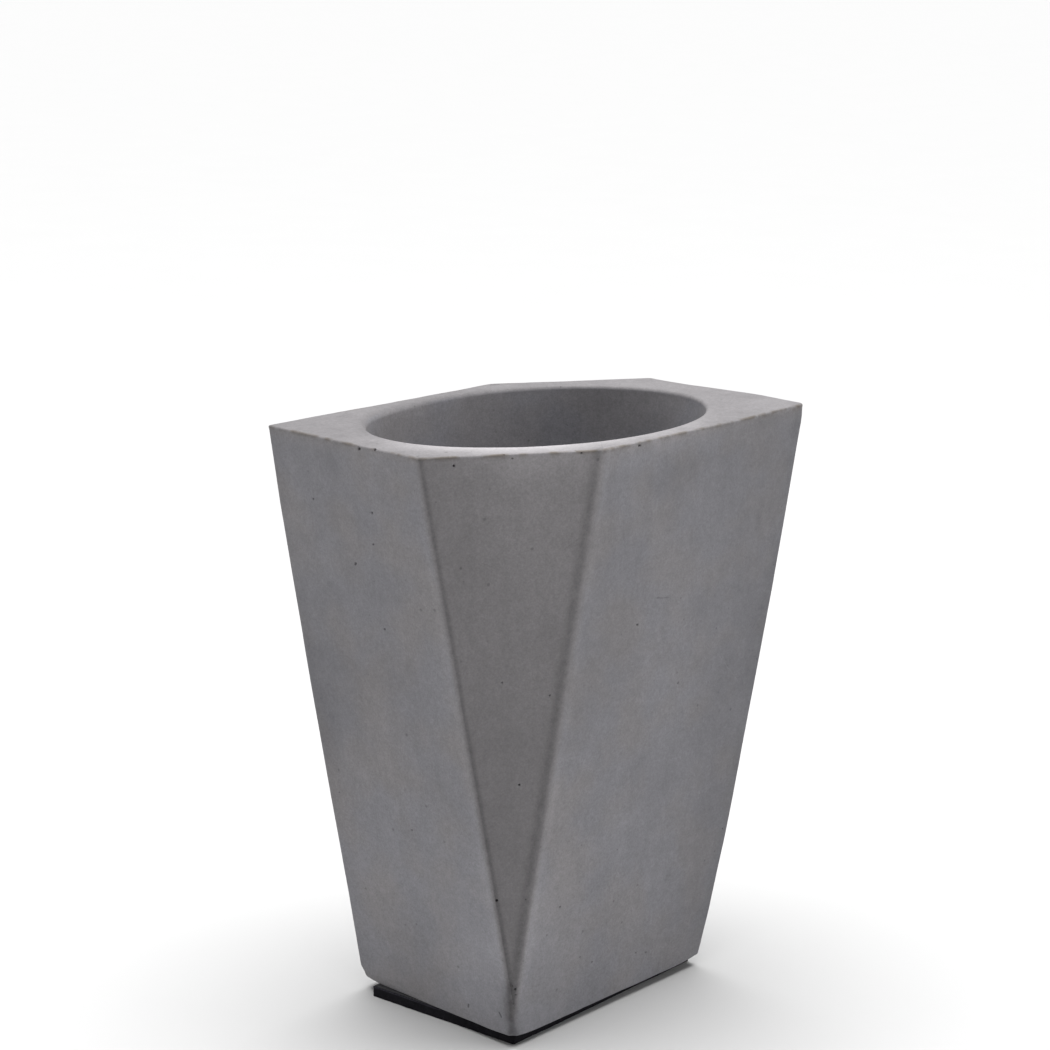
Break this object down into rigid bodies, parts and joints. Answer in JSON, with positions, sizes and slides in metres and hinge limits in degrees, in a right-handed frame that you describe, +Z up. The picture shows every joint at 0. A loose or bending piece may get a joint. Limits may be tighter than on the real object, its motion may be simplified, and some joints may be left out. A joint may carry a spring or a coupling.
{
  "type": "pen holder cup",
  "caption": "Faceted concrete pen holder cup with a tapered oval bore, two corners cut to long triangular facets, and a thin black foot pad.",
  "frame": {"origin": "on the surface the cup stands on, under the middle of the cup", "axes": "+X along the long side of the base, +Y along its short side, +Z up out of the mouth; the cut corners are at -X -Y and +X +Y"},
  "size_m": [0.0868, 0.056, 0.1122],
  "materials": {
    "concrete": "matte cast concrete, smooth with fine pores",
    "foam_rubber": "matte black closed-cell foam rubber",
    "adhesive_film": "thin black double-sided film"
  },
  "bodies": {
    "root": {"cup_body": "concrete", "base_pad": "foam_rubber", "pad_adhesive": "adhesive_film"}
  },
  "joints": []
}
